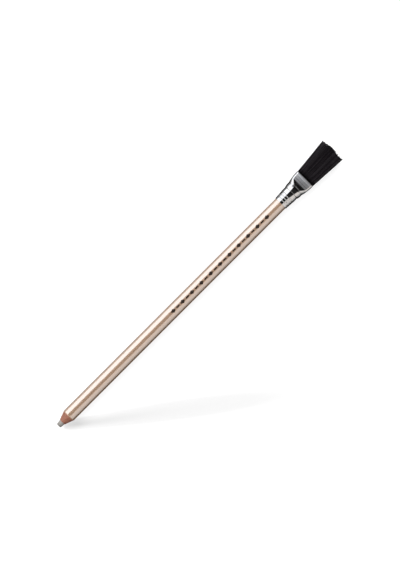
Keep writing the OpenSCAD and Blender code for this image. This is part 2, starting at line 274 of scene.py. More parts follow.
def build_smudge(tree, given, result):
    """Broad soft patches between a low and a high value."""
    cloud = noisy(tree, given["Vector"], given["Scale"], 4.0, 0.6)
    tree.links.new(ranged(tree, cloud, 0.3, 0.7, given["Low"], given["High"]), result["Value"])


def build_hairlines(tree, given, result):
    """Fine lines along one direction: noise on coordinates that are squeezed along it."""
    squeezed = node(tree, "ShaderNodeVectorMath", {0: given["Vector"], 1: given["Squeeze"]},
                    operation="MULTIPLY").outputs[0]
    tree.links.new(noisy(tree, squeezed, given["Scale"], 3.0, 0.65), result["Height"])


# Each shared effect's builder, its inputs with their defaults (a vector has none) and its outputs
EFFECTS = {
    "speckle": (build_speckle, {"Vector": None, "Scale": 1000.0, "Threshold": 0.5},
                ("Value", "Mask")),
    "smudge": (build_smudge, {"Vector": None, "Scale": 100.0, "Low": 0.0, "High": 1.0},
               ("Value",)),
    "hairlines": (build_hairlines, {"Vector": None, "Squeeze": None, "Scale": 1000.0},
                  ("Height",)),
}


def effect(tree, name, *values):
    """Places a shared effect in a material with its own values. It is built the first time."""
    build, inputs, outputs = EFFECTS[name]
    group = bpy.data.node_groups.get(name)
    if group is None:
        group = bpy.data.node_groups.new(name, "ShaderNodeTree")
        for label, default in inputs.items():
            kind = "NodeSocketVector" if default is None else "NodeSocketFloat"
            socket = group.interface.new_socket(label, in_out="INPUT", socket_type=kind)
            if default is not None:
                socket.default_value = default
        for label in outputs:
            group.interface.new_socket(label, in_out="OUTPUT", socket_type="NodeSocketFloat")
        build(group, group.nodes.new("NodeGroupInput").outputs,
              group.nodes.new("NodeGroupOutput").inputs)
    return node(tree, "ShaderNodeGroup", dict(zip(inputs, values)), node_tree=group).outputs


def speckle(tree, vector, scale, threshold):
    return effect(tree, "speckle", vector, scale, threshold)


def smudge(tree, vector, scale, low=0.0, high=1.0):
    return effect(tree, "smudge", vector, scale, low, high)["Value"]


def hairlines(tree, vector, squeeze, scale):
    return effect(tree, "hairlines", vector, squeeze, scale)["Height"]


def material(name, **uniform):
    """A new material with its shader's uniform numbers set, its tree and its object coordinates."""
    made = bpy.data.materials.new(name)
    made.use_nodes = True
    tree = made.node_tree
    shader = tree.nodes["Principled BSDF"]
    for key, value in uniform.items():
        shader.inputs[key.replace("_", " ")].default_value = value
    place = tree.nodes.new("ShaderNodeTexCoord").outputs["Object"]
    return made, tree, shader, place


def feed(tree, shader, **sources):
    """Links what changes over the surface to the shader."""
    for key, source in sources.items():
        tree.links.new(source, shader.inputs[key.replace("_", " ")])


def blend_colours(tree, factor, first, second):
    """Mixes two colours by a value."""
    first, second = (c if isinstance(c, bpy.types.NodeSocket) else rgba(c) for c in (first, second))
    return node(tree, "ShaderNodeMix", {0: factor, 6: first, 7: second},
                data_type="RGBA").outputs[2]


def blend_values(tree, factor, first, second):
    """Mixes two values by a third."""
    return node(tree, "ShaderNodeMix", {0: factor, 2: first, 3: second},
                data_type="FLOAT").outputs[0]


def raise_surface(tree, shader, *heights):
    """Chains Bump nodes, each with a height and a real depth in metres, to the shader's normal."""
    normal = None
    for height, depth in heights:
        inputs = {"Height": height, "Distance": depth, "Strength": 1.0}
        if normal is not None:
            inputs["Normal"] = normal
        normal = node(tree, "ShaderNodeBump", inputs).outputs[0]
    feed(tree, shader, Normal=normal)


def scaled(base, share):
    """A colour made lighter or darker."""
    return tuple(min(1.0, c * share) for c in base)


def shades(tree, factor, base, low, high):
    """A colour that varies between a darker and a lighter shade of itself."""
    return blend_colours(tree, factor, scaled(base, low), scaled(base, high))


# Meshes

def finish_piece(bm, name, node_names, finish, sharp=30.0):
    """Turns a bmesh into a shown piece that rides on the pencil and stands for CAD nodes."""
    mesh = bpy.data.meshes.new(name)
    bm.to_mesh(mesh)
    bm.free()
    return finish_mesh(mesh, name, node_names, finish, sharp)


def finish_mesh(mesh, name, node_names, finish, sharp=30.0):
    """Makes a mesh a shown piece, smooth but for edges sharper than an angle in degrees."""
    mesh.shade_smooth()
    mesh.set_sharp_from_angle(angle=math.radians(sharp))
    mesh.materials.clear()
    mesh.materials.append(finish)
    piece = bpy.data.objects.new(name, mesh)
    bpy.context.scene.collection.objects.link(piece)
    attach(piece, BODY)
    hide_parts(*node_names)
    return piece


def arc(centre, radius, start, end, steps):
    """Points of a round stretch of an outline, as (x, distance from the axis), from one angle in
    degrees to another."""
    angles = (math.radians(start + (end - start) * i / steps) for i in range(steps + 1))
    return [(centre[0] + radius * math.cos(a), centre[1] + radius * math.sin(a)) for a in angles]


def turned(outline, steps=192):
    """A bmesh turned about the X axis from a closed outline, or one whose ends are on the axis."""
    bm = bmesh.new()
    corners = [bm.verts.new((x, 0.0, r)) for x, r in outline]
    sides = [bm.edges.new(pair) for pair in zip(corners, corners[1:])]
    if outline[0][1] > 0.0:
        sides.append(bm.edges.new((corners[-1], corners[0])))
    bmesh.ops.spin(bm, geom=corners + sides, cent=(0, 0, 0), axis=(1, 0, 0), dvec=(0, 0, 0),
                   angle=math.tau, steps=steps, use_merge=True)
    bmesh.ops.remove_doubles(bm, verts=bm.verts, dist=1e-7)
    bmesh.ops.recalc_face_normals(bm, faces=bm.faces)
    return bm


def seat_on_axis(bm):
    """Lifts what was turned about the X axis to the pencil's axis."""
    bmesh.ops.translate(bm, verts=bm.verts, vec=(0, 0, AXIS_Z))


def cut_level(bm, height, keep_above):
    """Cuts a bmesh at a height above the axis, keeps one side of it and closes the cut."""
    geom = list(bm.verts) + list(bm.edges) + list(bm.faces)
    bmesh.ops.bisect_plane(bm, geom=geom, plane_co=(0, 0, height), plane_no=(0, 0, 1), dist=1e-8,
                           clear_inner=keep_above, clear_outer=not keep_above)
    rim = [e for e in bm.edges if e.is_boundary]
    bmesh.ops.holes_fill(bm, edges=rim, sides=0)
    bmesh.ops.recalc_face_normals(bm, faces=bm.faces)


def step(value, low, high):
    """A smooth rise from 0 to 1 between two values, or a fall where the first is the larger."""
    share = np.clip((value - low) / (high - low), 0.0, 1.0)
    return share * share * (3.0 - 2.0 * share)


def bell(value, middle, width):
    """1 in the middle, and soon 0 on both sides."""
    return np.exp(-((value - middle) / width) ** 2)


def within(value, full, none):
    """1 where a value is below one limit, falling to 0 at another."""
    return 1.0 - step(value, full, none)


# Eraser core

def rubber_finish(colours):
    made, tree, shader, place = material("grey_rubber", Roughness=0.85, Specular_IOR_Level=0.3,
                                         Sheen_Weight=0.15, Sheen_Roughness=0.6)
    patches = smudge(tree, place, 420.0)
    grains = speckle(tree, place, 9000.0, 0.80)["Mask"]
    # the rubber is darker towards the blunt end
    undarkened = ranged(tree, along(tree, place), TIP_X + 0.2 * MM, NOSE_X - 0.3 * MM)
    shown = blend_colours(tree, undarkened, scaled(colours.rubber, 0.72),
                          shades(tree, patches, colours.rubber, 0.86, 1.08))
    feed(tree, shader, Base_Color=blend_colours(tree, grains, shown, scaled(colours.rubber, 1.35)))
    pores = noisy(tree, place, 5200.0, 6.0, 0.7)
    raise_surface(tree, shader, (patches, 0.02 * MM), (pores, 0.03 * MM))
    return made


def rub_down(bm, sizes):
    """Dents the bare rubber a little, as use does, and leaves its widest reach as it was."""
    for v in bm.verts:
        bare = within(v.co.x, NOSE_X - 0.6 * MM, NOSE_X - 0.2 * MM)
        dent = 0.5 + 0.5 * noise.noise(v.co / (0.9 * MM)) + 0.25 * noise.noise(v.co / (0.3 * MM))
        depth = bare * sizes.rub * max(0.0, dent)
        spoke = Vector((0.0, v.co.y, v.co.z))
        if spoke.length > 0.0:
            v.co -= spoke.normalized() * depth
        v.co.x += depth * step(v.co.x, TIP_X + 0.3 * MM, TIP_X)


class PENCIL_OT_eraser_core(Operator):
    """Turns the grey eraser core with its blunt, rubbed end"""
    bl_idname = "pencil.eraser_core"
    bl_label = "Eraser core"

    def execute(self, context):
        sizes = context.scene.pencil_case
        r = sizes.blunt_round
        rounding = arc((TIP_X + r, sizes.blunt_r - r), r, 180.0, 90.0, 8)
        face = [(TIP_X, (sizes.blunt_r - r) * i / 6) for i in range(6)]
        bare_l, widening = NOSE_X - TIP_X - r, sizes.worn_r - sizes.blunt_r
        side = [(TIP_X + r + bare_l * share,
                 sizes.blunt_r + widening * math.sin(math.pi / 2 * share) ** 1.2)
                for share in np.linspace(0.0, 1.0, 19)[1:]]
        bore = [(NOSE_X, sizes.core_r), (TENON_X, sizes.core_r), (TENON_X, 0.0)]
        bm = turned(face + rounding + side + bore, steps=128)
        rub_down(bm, sizes)
        seat_on_axis(bm)
        finish_piece(bm, "EraserCore", ["eraser_core"],
                     rubber_finish(context.scene.pencil_colours))
        return {"FINISHED"}


# Cedar case

def cedar_finish(colours):
    made, tree, shader, place = material("bare_cedar", Roughness=0.62, Specular_IOR_Level=0.3)
    grain = hairlines(tree, place, (0.035, 1.0, 1.0), 2600.0)
    fibres = hairlines(tree, place, (0.10, 1.0, 1.0), 9000.0)
    cutter = hairlines(tree, place, (1.0, 0.04, 0.04), 6000.0)
    wood = blend_colours(tree, ranged(tree, grain, 0.38, 0.66), colours.cedar, colours.cedar_dark)
    light = ranged(tree, fibres, 0.35, 0.7, 0.0, 0.5)
    feed(tree, shader, Base_Color=blend_colours(tree, light, wood, scaled(colours.cedar, 1.35)))
    raise_surface(tree, shader, (cutter, 0.012 * MM), (fibres, 0.010 * MM))
    return made


def patchy_finish(name, base, scale, low, high, bump, **uniform):
    """A plain coat or filling with soft patches in its colour and its surface."""
    made, tree, shader, place = material(name, **uniform)
    patches = smudge(tree, place, scale)
    feed(tree, shader, Base_Color=shades(tree, patches, base, low, high))
    raise_surface(tree, shader, (patches, bump))
    return made


def cone_x(sizes, radius):
    """Where the sharpened cone has a radius."""
    return NOSE_X + sizes.cone_l * (radius - sizes.nose_r) / (sizes.barrel_r - sizes.nose_r)


class PENCIL_OT_cedar_case(Operator):
    """Turns the two cedar slats and the glue line between them"""
    bl_idname = "pencil.cedar_case"
    bl_label = "Cedar case"

    def execute(self, context):
        sizes, colours = context.scene.pencil_case, context.scene.pencil_colours
        shoulder_x = cone_x(sizes, sizes.wood_r)
        cone = np.linspace((NOSE_X, sizes.nose_r), (shoulder_x, sizes.wood_r), 13)
        outline = [(NOSE_X, sizes.core_r), *cone, (TENON_X, sizes.wood_r), (TENON_X, sizes.core_r)]
        half = sizes.glue_t / 2
        cedar = cedar_finish(colours)
        for name, node_name, above in (("CedarSlatUpper", "cedar_slat_upper", True),
                                       ("CedarSlatLower", "cedar_slat_lower", False)):
            bm = turned(outline)
            cut_level(bm, half if above else -half, above)
            seat_on_axis(bm)
            finish_piece(bm, name, [node_name], cedar)
        bm = turned(outline)
        cut_level(bm, half, False)
        cut_level(bm, -half, True)
        seat_on_axis(bm)
        finish_piece(bm, "SlatGlueLine", ["slat_glue_line"],
                     patchy_finish("dried_glue", colours.glue, 900.0, 0.8, 1.15, 0.005 * MM,
                                   Roughness=0.5))
        return {"FINISHED"}


# Primer and lacquer

RECESS_PAD = 0.012 * MM  # how much wider than the foil its recess is, on each side


def lacquer_finish(colours, edge_x):
    """Metallic paint under a clear gloss, which the sharpener has cut off at the cone's edge."""
    made, tree, shader, place = material(
        "champagne_lacquer", Metallic=0.06, IOR=1.5, Specular_IOR_Level=0.2,
        Coat_IOR=4.0, Coat_Roughness=0.16)
    flakes = speckle(tree, place, 14000.0, 0.72)
    drawn = hairlines(tree, place, (0.012, 1.0, 1.0), 2400.0)
    base = shades(tree, smudge(tree, place, 60.0), colours.lacquer, 0.975, 1.025)
    feed(tree, shader,
         Base_Color=blend_colours(tree, flakes["Mask"], base, scaled(colours.lacquer, 1.30)),
         Roughness=ranged(tree, drawn, 0.3, 0.7, 0.27, 0.36),
         Coat_Weight=ranged(tree, along(tree, place), edge_x, edge_x + 0.03 * MM))
    raise_surface(tree, shader, (drawn, 0.0001 * MM), (flakes["Value"], 0.0004 * MM))
    return made


def lozenge_patch(bm, centre_x, sizes, pad):
    """A flat lozenge of small squares, cut from a grid by its four sides."""
    half_l, half_w = sizes.lozenge_l / 2, sizes.lozenge_w / 2
    made = bmesh.ops.create_grid(bm, x_segments=16, y_segments=16, size=1.0)
    verts = made["verts"]
    bmesh.ops.scale(bm, verts=verts, vec=(half_l, half_w, 1.0))
    faces = {f for v in verts for f in v.link_faces}
    for sx in (-1, 1):
        for sy in (-1, 1):
            corners = {v for f in faces for v in f.verts}
            edges = {e for f in faces for e in f.edges}
            geom = [*corners, *edges, *faces]
            side = Vector((sx * half_w, sy * half_l, 0.0)).normalized()
            cut = bmesh.ops.bisect_plane(bm, geom=geom, plane_co=(sx * half_l, 0, 0),
                                         plane_no=side, dist=1e-8, clear_outer=True)
            faces = {g for g in cut["geom"] if isinstance(g, bmesh.types.BMFace) and g.is_valid}
    verts = list({v for f in faces for v in f.verts})
    grow = Vector((1.0 + pad / half_l, 1.0 + pad / half_w, 1.0))
    bmesh.ops.scale(bm, verts=verts, vec=grow)
    bmesh.ops.translate(bm, verts=verts, vec=(centre_x, 0, 0))


def bar_patch(bm, centre_x, sizes, pad):
    """A flat bar of small squares."""
    made = bmesh.ops.create_grid(bm, x_segments=8, y_segments=6, size=1.0)
    bmesh.ops.scale(bm, verts=made["verts"],
                    vec=(sizes.bar_l / 2 + pad, sizes.bar_w / 2 + pad, 1.0))
    bmesh.ops.translate(bm, verts=made["verts"], vec=(centre_x, 0, 0))


def stamp_chain(sizes, pad=0.0):
    """The whole chain of lozenges and bars, flat, as a bmesh. Its middle line is the X axis."""
    first = STAMP_BOX[0].x + sizes.lozenge_l / 2
    last = STAMP_BOX[1].x - sizes.lozenge_l / 2
    pitch = (last - first) / (sizes.lozenges - 1)
    bm = bmesh.new()
    for i in range(sizes.lozenges):
        lozenge_patch(bm, first + i * pitch, sizes, pad)
    for i in range(sizes.lozenges - 1):
        bar_patch(bm, first + (i + 0.5) * pitch, sizes, pad)
    return bm


def wrap(bm, radius):
    """Lays a flat pattern on the barrel, on the side that faces up."""
    for v in bm.verts:
        height = v.co.z
        angle = math.asin(v.co.y / radius)
        v.co.y = (radius + height) * math.sin(angle)
        v.co.z = AXIS_Z + (radius + height) * math.cos(angle)


def thicken(bm, up, down):
    """Gives a flat pattern a top at one height and a bottom at another."""
    faces = list(bm.faces)
    bmesh.ops.translate(bm, verts=bm.verts, vec=(0, 0, down))
    made = bmesh.ops.extrude_face_region(bm, geom=faces, use_keep_orig=True)
    top = [g for g in made["geom"] if isinstance(g, bmesh.types.BMVert)]
    bmesh.ops.translate(bm, verts=top, vec=(0, 0, up - down))
    bmesh.ops.recalc_face_normals(bm, faces=bm.faces)


def carve(piece, cutter_bm):
    """Cuts a recess into a piece's mesh."""
    mesh = bpy.data.meshes.new("cutter")
    cutter_bm.to_mesh(mesh)
    cutter_bm.free()
    cutter = bpy.data.objects.new("cutter", mesh)
    bpy.context.scene.collection.objects.link(cutter)
    cut = piece.modifiers.new("recess", "BOOLEAN")
    cut.operation, cut.solver, cut.object = "DIFFERENCE", "EXACT", cutter
    shown = piece.evaluated_get(bpy.context.evaluated_depsgraph_get())
    carved = bpy.data.meshes.new_from_object(shown)
    piece.modifiers.remove(cut)
    bpy.data.objects.remove(cutter)
    return carved


class PENCIL_OT_barrel_coats(Operator):
    """Turns the primer and the lacquer, and presses the stamp's recess into the lacquer"""
    bl_idname = "pencil.barrel_coats"
    bl_label = "Barrel coats"

    def execute(self, context):
        sizes, stamp = context.scene.pencil_case, context.scene.pencil_stamp
        colours = context.scene.pencil_colours
        wood_x, primer_x, edge_x = (
            cone_x(sizes, r) for r in (sizes.wood_r, sizes.primer_r, sizes.barrel_r))
        bm = turned([(wood_x, sizes.wood_r), (primer_x, sizes.primer_r), (REAR_X, sizes.primer_r),
                     (REAR_X, sizes.wood_r)])
        seat_on_axis(bm)
        finish_piece(bm, "PrimerCoat", ["primer_coat"],
                     patchy_finish("brown_primer", colours.primer, 700.0, 0.92, 1.05, 0.004 * MM,
                                   Roughness=0.7))
        r = sizes.edge_round
        rounding = arc((edge_x + r, sizes.barrel_r - r), r, 150.0, 90.0, 5)
        held = [(edge_x + r + away, sizes.barrel_r) for away in (0.05 * MM, 0.15 * MM, 0.40 * MM)]
        bm = turned([(primer_x, sizes.primer_r), *rounding, *held, (REAR_X, sizes.barrel_r),
                     (REAR_X, sizes.primer_r)], steps=256)
        seat_on_axis(bm)
        whole = finish_piece(bm, "whole_lacquer", ["lacquer_coat"],
                             lacquer_finish(colours, edge_x))
        cutter = stamp_chain(stamp, RECESS_PAD)
        thicken(cutter, 0.5 * MM, -stamp.depth)
        wrap(cutter, sizes.barrel_r)
        carved = carve(whole, cutter)
        finish = whole.data.materials[0]
        bpy.data.objects.remove(whole)
        finish_mesh(carved, "LacquerCoat", ["lacquer_coat"], finish)
        return {"FINISHED"}


# Stamped foil

def foil_finish(colours):
    """Dark foil, worn thin in places, where the lacquer shows through."""
    made, tree, shader, place = material("dark_foil", Metallic=0.35, Coat_Weight=0.25,
                                         Coat_Roughness=0.2)
    grains = speckle(tree, place, 11000.0, 0.55)["Value"]
    crackle = noisy(tree, place, 2600.0, 5.0, 0.7)
    thin = ranged(tree, crackle, 0.55, 0.75, 0.0, 0.35)
    body = shades(tree, grains, colours.foil, 0.7, 1.5)
    feed(tree, shader, Base_Color=blend_colours(tree, thin, body, scaled(colours.lacquer, 0.45)),
         Roughness=smudge(tree, place, 1500.0, 0.32, 0.48))
    raise_surface(tree, shader, (crackle, 0.006 * MM))
    return made


class PENCIL_OT_stamped_foil(Operator):
    """Lays the dark foil of the stamp into its recess"""
    bl_idname = "pencil.stamped_foil"
    bl_label = "Stamped foil"

    def execute(self, context):
        sizes, stamp = context.scene.pencil_case, context.scene.pencil_stamp
        bm = stamp_chain(stamp)
        thicken(bm, -stamp.sunk, -stamp.depth)
        wrap(bm, sizes.barrel_r)
        finish_piece(bm, "StampedFoil", ["stamped_foil"],
                     foil_finish(context.scene.pencil_colours))
        return {"FINISHED"}


# Ferrule

RING_STEP, BEAD_W = 0.24 * MM, 0.19 * MM  # half widths of a ring's rise and of its bead
FOOT_AT, FOOT_W = 0.42 * MM, 0.10 * MM  # the low lines at both feet of a bead
HUMP_RISE, HUMP_W = 0.05 * MM, 0.8 * MM
GROOVE_W, CRIMP_W = 0.34 * MM, 0.19 * MM
DIMPLE_TURNS = (25.0, 115.0, 205.0, 295.0)  # in degrees from straight up
DIMPLE_LIP = 0.012 * MM


def nickel_finish(colours):
    """Bright plating, satin where the press has drawn the sheet, with painted shade and dark
    reflections darkening its colour where the mesh marks them.
    """
    made, tree, shader, place = material("nickel_sheet", IOR=1.5)
    flat, fold = written(tree, "satin"), written(tree, "fold")
    rolled = hairlines(tree, place, (1.0, 0.03, 0.03), 9000.0)
    brushed = hairlines(tree, place, (1.0, 0.02, 0.02), 5200.0)
    satin = shades(tree, smudge(tree, place, 900.0), colours.satin, 0.77, 1.53)
    undarkened = blend_colours(tree, flat, colours.nickel, satin)
    feed(tree, shader,
         Base_Color=blend_colours(tree, fold, undarkened, scaled(colours.nickel, 0.06)),
         Metallic=ranged(tree, flat, 0.0, 1.0, 1.0, 0.84),
         Roughness=blend_values(tree, flat, smudge(tree, place, 500.0, 0.07, 0.13),
                                ranged(tree, brushed, 0.3, 0.7, 0.31, 0.43)))
    raise_surface(tree, shader, (rolled, 0.0002 * MM),
                  (maths(tree, "MULTIPLY", brushed, flat), 0.003 * MM))
    return made


def ring_lines(sizes):
    """Distances of the rolled rings from the rear edge."""
    return [sizes.ring_start + i * sizes.ring_pitch for i in range(sizes.rings)]


def press_end(sizes):
    """Distance at which the flat begins."""
    return sizes.press_start + sizes.press_l


def groove_at(sizes):
    """Distance of the groove at the press."""
    return sizes.press_start + sizes.groove_after


def round_face(sizes, u):
    """Radius of the round part's outer face at a distance from the rear edge."""
    r, shoulder = sizes.rear_r, sizes.shoulder_at
    for at in ring_lines(sizes):
        r = r + sizes.ring_rise * step(u, at - RING_STEP, at + RING_STEP)
        feet = bell(u, at - FOOT_AT, FOOT_W) + bell(u, at + FOOT_AT, FOOT_W)
        r = r + sizes.bead * (bell(u, at, BEAD_W) - 0.3 * feet)
    r = r + HUMP_RISE * bell(u, sizes.hump_at, HUMP_W)
    r = r + sizes.shoulder_rise * step(u, shoulder - 0.05 * MM, shoulder + 0.40 * MM)
    neck = sizes.rear_r + sizes.rings * sizes.ring_rise + sizes.shoulder_rise
    widening = np.clip((u - shoulder) / (sizes.round_at - shoulder), 0.0, 1.0)
    return r + (sizes.round_r - neck) * np.sin(widening * math.pi / 2) ** 1.3


def ferrule_section(sizes, u):
    """Half width, half thickness and the flat's half widths towards +Y and -Y at a distance from
    the rear edge."""
    r = float(round_face(sizes, u))
    run = FERRULE_L - sizes.press_start
    widening = sizes.mouth_w / 2 - sizes.round_r

    def flare(distance):
        return math.sin(math.pi / 2 * min(1.0, max(0.0, distance / run))) ** sizes.flare_power

    width = r + widening * flare(u - sizes.press_start)
    pressed = min(1.0, max(0.0, (u - sizes.press_start) / sizes.press_l))
    thick = r + (sizes.mouth_t / 2 - sizes.round_r) * pressed ** 1.15
    end_width = sizes.round_r + widening * flare(sizes.press_l)
    flat = pressed * (max(width, end_width) - sizes.mouth_edge)
    give = sizes.give * float(np.interp(u, (4.4 * MM, 6.2 * MM, 11.2 * MM), (0.0, 0.34, 1.0)))
    return width, thick, tuple(flat + (1.0 - pressed) * share * give for share in (0.06, 1.0))


def quarter(width, thick, flat, inset, count):
    """Evenly spaced points of a quarter of a flat-topped section, from its top to its side."""
    turn = np.linspace(0.0, math.pi / 2, 240)
    across = np.concatenate([[0.0], flat + (width - inset - flat) * np.sin(turn)])
    up = np.concatenate([[thick - inset], (thick - inset) * np.cos(turn)])
    run = np.concatenate([[0.0], np.cumsum(np.hypot(np.diff(across), np.diff(up)))])
    wanted = np.linspace(0.0, run[-1], count // 4 + 1)
    return np.interp(wanted, run, across), np.interp(wanted, run, up)


def around(width, thick, flats, inset, count):
    """Points round a flat-topped section, from its top clockwise seen from the brush."""
    (ky, kz), (fy, fz) = (quarter(width, thick, flat, inset, count) for flat in flats)
    back = slice(-2, 0, -1)
    return (np.concatenate([-fy, -fy[back], ky, ky[back]]),
            np.concatenate([fz, -fz[back], -kz, kz[back]]))


def flat_at(y, flats):
    """Half width of the flat on the side that a place is on."""
    return np.where(np.asarray(y) > 0.0, flats[0], flats[1])


def groove_share(y):
    """How much of its depth the groove at the press has: all of it on top, little at the sides."""
    return 0.25 + 0.75 * within(np.abs(np.asarray(y) + 0.3 * MM), 2.0 * MM, 2.8 * MM)


def ferrule_stations(sizes):
    """Distances from the rear edge at which the outer face has a ring of corners, closer together
    where the face bends more."""
    shoulder, start, end = sizes.shoulder_at, sizes.press_start, press_end(sizes)
    lip = FERRULE_L - 0.10 * MM
    bounds = [0.10 * MM, ring_lines(sizes)[-1] + 1.0 * MM, shoulder - 0.3 * MM, shoulder + 0.8 * MM,
              start - 0.5 * MM, start + 0.8 * MM, end - 0.3 * MM, lip]
    pitches = [0.085 * MM, 0.25 * MM, 0.09 * MM, 0.22 * MM, 0.06 * MM, 0.12 * MM, 0.07 * MM]
    stations = []
    for low, high, pitch in zip(bounds, bounds[1:], pitches):
        count = max(1, round((high - low) / pitch))
        stations += [low + (high - low) * i / count for i in range(count)]
    return stations + [lip]


def crimp_lines(sizes):
    """Distances of the crimp lines across the flat."""
    pitch = (FERRULE_L - press_end(sizes)) / (sizes.crimps + 0.1)
    return [press_end(sizes) + pitch * (i + 0.82) for i in range(sizes.crimps)]


def ferrule_ring(sizes, u, inset, count):
    """Points of one ring of the ferrule. The groove, the dimples and the crimp lines are pressed
    into the outer face alone."""
    width, thick, flats = ferrule_section(sizes, u)
    y, z = around(width, thick, flats, inset, count)
    if u > sizes.press_start:
        crown = sizes.crown * float(step(u, sizes.press_start, press_end(sizes))) / thick
        z = z * (1.0 - crown * np.minimum(1.0, (y / flat_at(y, flats)) ** 2))
    if inset == 0.0:
        if u > press_end(sizes):
            dip = sum(bell(u, at, CRIMP_W) for at in crimp_lines(sizes)) * sizes.crimp
            z = z - np.sign(z) * dip * within(np.abs(y), flats[0] - 0.2 * MM, flats[0] + 0.5 * MM)
        shrink = 1.0 - sizes.groove * bell(u, groove_at(sizes), GROOVE_W) * groove_share(y) / width
        y, z = y * shrink, z * shrink
        if u < sizes.ring_start + 2 * sizes.ring_pitch:
            y, z = punched(sizes, u, y, z, width)
    return [Vector((REAR_X + u, a, b)) for a, b in zip(y, z)]


def punched(sizes, u, y, z, width):
    """Presses the four dimples between the first two rings, each with a low lip round it."""
    for turn in DIMPLE_TURNS:
        angle = math.radians(turn)
        aim_y, aim_z = -math.sin(angle) * width, math.cos(angle) * width
        away = u - sizes.ring_start - sizes.ring_pitch / 2
        off = np.sqrt((y - aim_y) ** 2 + (z - aim_z) ** 2 + away ** 2) / sizes.dimple_r
        cup = np.clip(1.0 - off ** 2, 0.0, 1.0) ** 1.5 * sizes.dimple
        shrink = 1.0 - (cup - bell(off, 1.15, 0.18) * DIMPLE_LIP) / width
        y, z = y * shrink, z * shrink
    return y, z


# Painted shade on the ferrule, 0 to 1, at a distance u from its rear edge and a place y across it

def crease_shade(sizes, u, y, flats):
    """Painted shade in the creases at the groove, on top of the shoulder and before the flat."""
    left = step(y, 0.3 * MM, 1.0 * MM)
    share = max(groove_share(y), left * within(y, 2.2 * MM, 2.8 * MM))
    groove = share * bell(u, groove_at(sizes), (0.60 + 0.30 * left) * MM)
    top = within(abs(y + 0.4 * MM), 0.8 * MM, 1.5 * MM)
    shoulder = 0.9 * top * bell(u, sizes.shoulder_at + 0.02 * MM, 0.42 * MM)
    end, edge = press_end(sizes), flat_at(y, flats)
    if u >= end:
        return max(groove, shoulder)
    on_press = within(abs(y), edge - 0.4 * MM, edge + 0.2 * MM)
    return max(groove, shoulder, 0.7 * on_press * step(u, end - 1.4 * MM, end - 0.5 * MM))


def flat_shade(sizes, u, y):
    """Painted shade on the flat: more near the press, towards -Y and in the crimp lines."""
    end = press_end(sizes)
    undarkened = 1.0 - 0.38 * within(u, end + 1.4 * MM, end + 3.2 * MM)
    undarkened *= 1.0 - 0.24 * step(-y, -3.5 * MM, 3.0 * MM)
    undarkened *= 1.0 - 0.56 * sum(bell(u, at, 0.22 * MM) for at in crimp_lines(sizes))
    return 1.0 - undarkened


def lip_shade(u, y):
    """Painted shade along the mouth's edge, but for its +Y corner."""
    return (0.95 * step(u, FERRULE_L - 0.42 * MM, FERRULE_L - 0.20 * MM)
            * within(y, 5.2 * MM, 5.8 * MM))


def ring_shade(sizes, u, y, width):
    """Painted shade before and after each rolled ring, more towards +Y and at the sides."""
    upper = step(y, 0.6 * MM, 1.2 * MM)
    after = 0.35 + 0.25 * upper + 0.30 * step(abs(y), 0.88 * width, width)
    return max(max(0.35 * bell(u, at - 0.46 * MM, 0.08 * MM),
                   after * bell(u, at + 0.46 * MM, (0.14 + 0.08 * upper) * MM))
               for at in ring_lines(sizes))


def ring_edges(bm, ring):
    """The edges round a ring of corners."""
    return [bm.edges.get((a, b)) for a, b in zip(ring, ring[1:] + ring[:1])]


def extrude_to(bm, rim, places):
    """Extrudes a rim of edges and moves its new corners to given places, in the rim's order."""
    made = bmesh.ops.extrude_edge_only(bm, edges=ring_edges(bm, rim))
    fresh = {g for g in made["geom"] if isinstance(g, bmesh.types.BMVert)}
    following = [next(e.other_vert(v) for e in v.link_edges if e.other_vert(v) in fresh)
                 for v in rim]
    for v, place in zip(following, places):
        v.co = place
    return following


